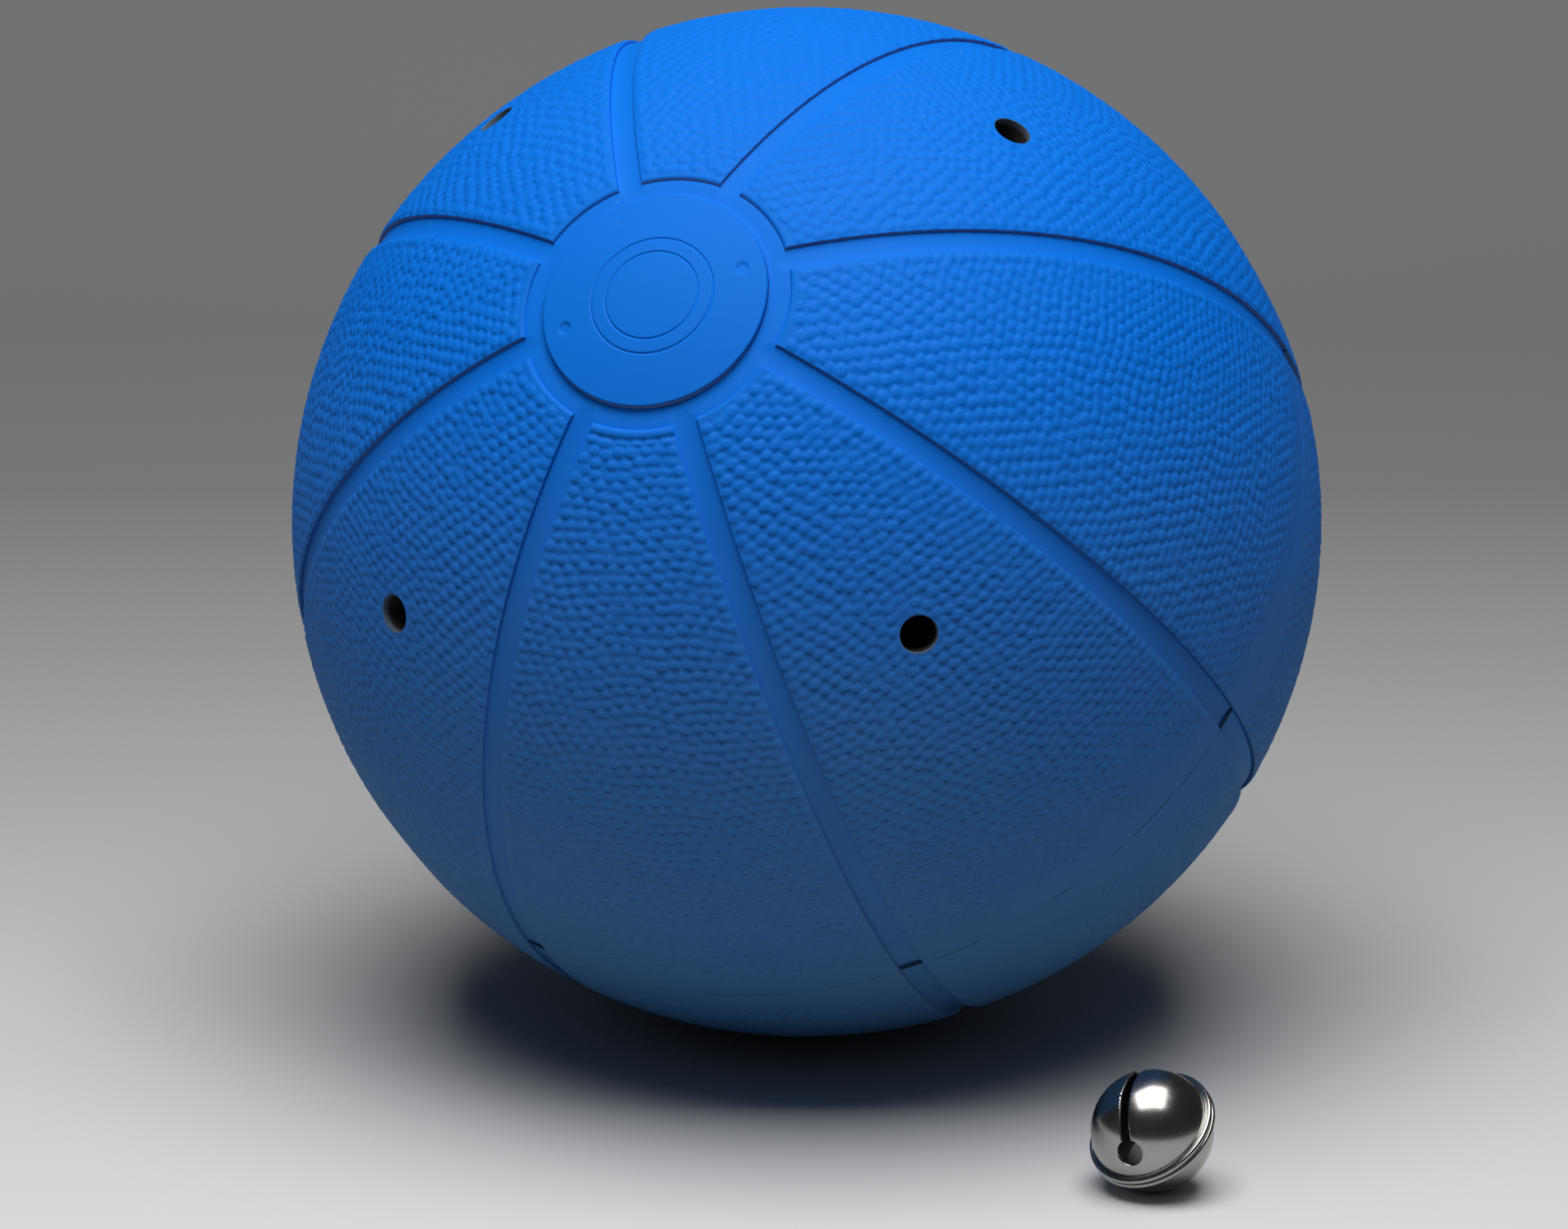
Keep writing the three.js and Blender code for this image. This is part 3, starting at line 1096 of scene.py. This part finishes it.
def cupMesh(slotted):
    radius = bell["radius"]
    bead = bell["beadRadius"]
    beadCentre = (bell["crimpRadius"] - bead, bell["seam"] / 2 + bead)
    domeEnd = math.acos((beadCentre[1] + bead * 0.6) / radius)
    profile = [(radius * math.sin(a), radius * math.cos(a))
               for a in np.linspace(0, domeEnd, bell["domeRows"])]
    start, end = math.radians(bell["beadFrom"]), math.radians(bell["beadTo"])
    for angle in np.linspace(start, end, bell["beadRows"]):
        profile.append((beadCentre[0] + bead * math.cos(angle),
                        beadCentre[1] + bead * math.sin(angle)))
    inner = radius - bell["sheet"]
    innerStart = math.acos(bell["seam"] / 2 / inner)
    profile += [(inner * math.sin(a), inner * math.cos(a))
                for a in np.linspace(innerStart, 0, bell["innerRows"])]
    profile[0] = (0, radius)
    profile[-1] = (0, inner)
    bm = spun(profile, bell["steps"])
    if not slotted:
        return dullInside(keep(bm, "plain cup"), inner)
    tilt = math.radians(bell["keyholeAngle"])
    reach = radius * math.sin(tilt)
    beyond = 2
    low = inner * math.cos(tilt) - beyond
    high = radius + beyond
    slot = bmesh.new()
    bmesh.ops.create_cube(slot, size=1)
    bmesh.ops.scale(slot, vec=(2 * reach, bell["slotWidth"], high - low), verts=slot.verts[:])
    bmesh.ops.translate(slot, vec=(0, 0, (high + low) / 2), verts=slot.verts[:])
    cutters = [slot]
    for azimuth in (0, math.pi):
        cutters.append(drill(bell["keyholeDiameter"] / 2, tilt, azimuth, inner - 3,
                             bell["crimpRadius"] + beyond))
    return dullInside(carve(keep(bm, "slotted cup"), cutters), inner)


pellet = {
    "roundness": 5,         # times that the icosphere is divided
    "dents": 60,
    "dentDepth": 0.012,     # of the radius
    "dentWidth": 0.7,
}


def pelletMesh(radius):
    bm = bmesh.new()
    bmesh.ops.create_icosphere(bm, subdivisions=pellet["roundness"], radius=radius)
    random = np.random.default_rng(3)
    points = coordinates(bm)
    for _ in range(pellet["dents"]):
        spot = random.normal(size=3)
        spot *= radius / np.linalg.norm(spot)
        away = np.linalg.norm(points - spot, axis=1)
        dent = pellet["dentDepth"] * np.exp(-(away / pellet["dentWidth"]) ** 2)
        points *= (1 - dent)[:, None]
    moveTo(bm, points)
    return keep(bm, "pellet")


def boxCentre(*nodes):
    # the middle, in metres, of the box round some of the frame's nodes
    corners = np.array([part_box(node) for node in nodes])
    return Vector((corners[:, 0].min(0) + corners[:, 1].max(0)) / 2)


def addBell(name, centre, turn):
    place = Matrix.Translation(centre) @ toMetres @ turn
    cups = {"slotted_cup": (slottedCup, place), "plain_cup": (plainCup, place @ turned(180, "X"))}
    for part, (mesh, where) in cups.items():
        addPiece(f"{name}_{part}_dressed", mesh, where, name, [f"{name}_{part}"],
                 [steel, dullSteel])
    node = f"{name}_pellet"
    place = Matrix.Translation(boxCentre(node)) @ toMetres
    addPiece(f"{node}_dressed", pelletShape, place, node, [node], [pelletSteel])


print("bells")
slottedCup = cupMesh(True)
plainCup = cupMesh(False)
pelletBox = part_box("sample_bell_pellet")
pelletShape = pelletMesh((pelletBox[1][2] - pelletBox[0][2]) / 2 / metre)
innerSpin = turned(bell["innerSlotTurn"], "Z")
for name, side in (("bell_1", -1), ("bell_2", 1)):
    centre = boxCentre(f"{name}_slotted_cup", f"{name}_plain_cup")
    addBell(name, centre, turned(90 * side, "Y") @ innerSpin)
sampleTurn = (turned(bell["sampleTurn"], "Z") @ turned(bell["sampleLean"], "X")
              @ turned(bell["sampleSpin"], "Z"))
addBell("sample_bell", Vector(bell["sample"]) * metre, sampleTurn)


# Floor, light and world

stage = {
    "floorSize": 8.0,       # metres
    "tones": ((-0.16, 0.72), (0.15, 0.45), (0.47, 0.23), (0.65, 0.22), (1.10, 0.31)),
    "bounceShare": 0.5,     # how much of the floor's tone it throws back at the object
    "lampSize": 1.7,
    "lampPower": 47.0,
    "lampPlace": (-0.05, -0.33, 2.0),
    "world": (1.0, 1.0, 1.0, 1),
    "worldStrength": 0.035,
}


def floorMaterial():
    # paper that darkens to the back, partly its own tone and partly painted falloff of the light;
    # the tones are (distance along Y, grey) pairs
    recipe = Recipe("floor")
    near = stage["tones"][0][0]
    span = stage["tones"][-1][0] - near
    along = recipe.node("ShaderNodeSeparateXYZ", None, {"Vector": recipe.place}).out("Y")
    stops = [((y - near) / span, (grey, grey, grey, 1)) for y, grey in stage["tones"]]
    place = (along - near) * (1 / span)
    tone = recipe.node("ShaderNodeValToRGB", {"stops": stops}, {"Fac": place})
    rays = recipe.node("ShaderNodeLightPath")
    seen = rays.out("Is Camera Ray") + rays.out("Is Glossy Ray") + rays.out("Is Transmission Ray")
    share = seen.between(0, 1) * (1 - stage["bounceShare"]) + stage["bounceShare"]
    colour = recipe.mix(share, (0, 0, 0, 1), tone.out("Color"))
    surface = {"Base Color": colour, "Roughness": 0.8, "Specular IOR Level": 0.1}
    return recipe.finish(surface)


print("stage")
floorShape = bmesh.new()
bmesh.ops.create_grid(floorShape, x_segments=4, y_segments=4, size=stage["floorSize"] / 2)
floor = bpy.data.objects.new("floor", keep(floorShape, "floor"))
floor.data.materials.append(floorMaterial())
bpy.context.scene.collection.objects.link(floor)

lampData = bpy.data.lights.new("softbox", "AREA")
lampData.shape = "SQUARE"
lampData.size = stage["lampSize"]
lampData.energy = stage["lampPower"]
lamp = bpy.data.objects.new("softbox", lampData)
lamp.location = stage["lampPlace"]
bpy.context.scene.collection.objects.link(lamp)

world = bpy.data.worlds.new("world")
world.use_nodes = True
world.node_tree.nodes["Background"].inputs["Color"].default_value = stage["world"]
world.node_tree.nodes["Background"].inputs["Strength"].default_value = stage["worldStrength"]
bpy.context.scene.world = world
bpy.context.scene.view_settings.view_transform = "Standard"

print("done")
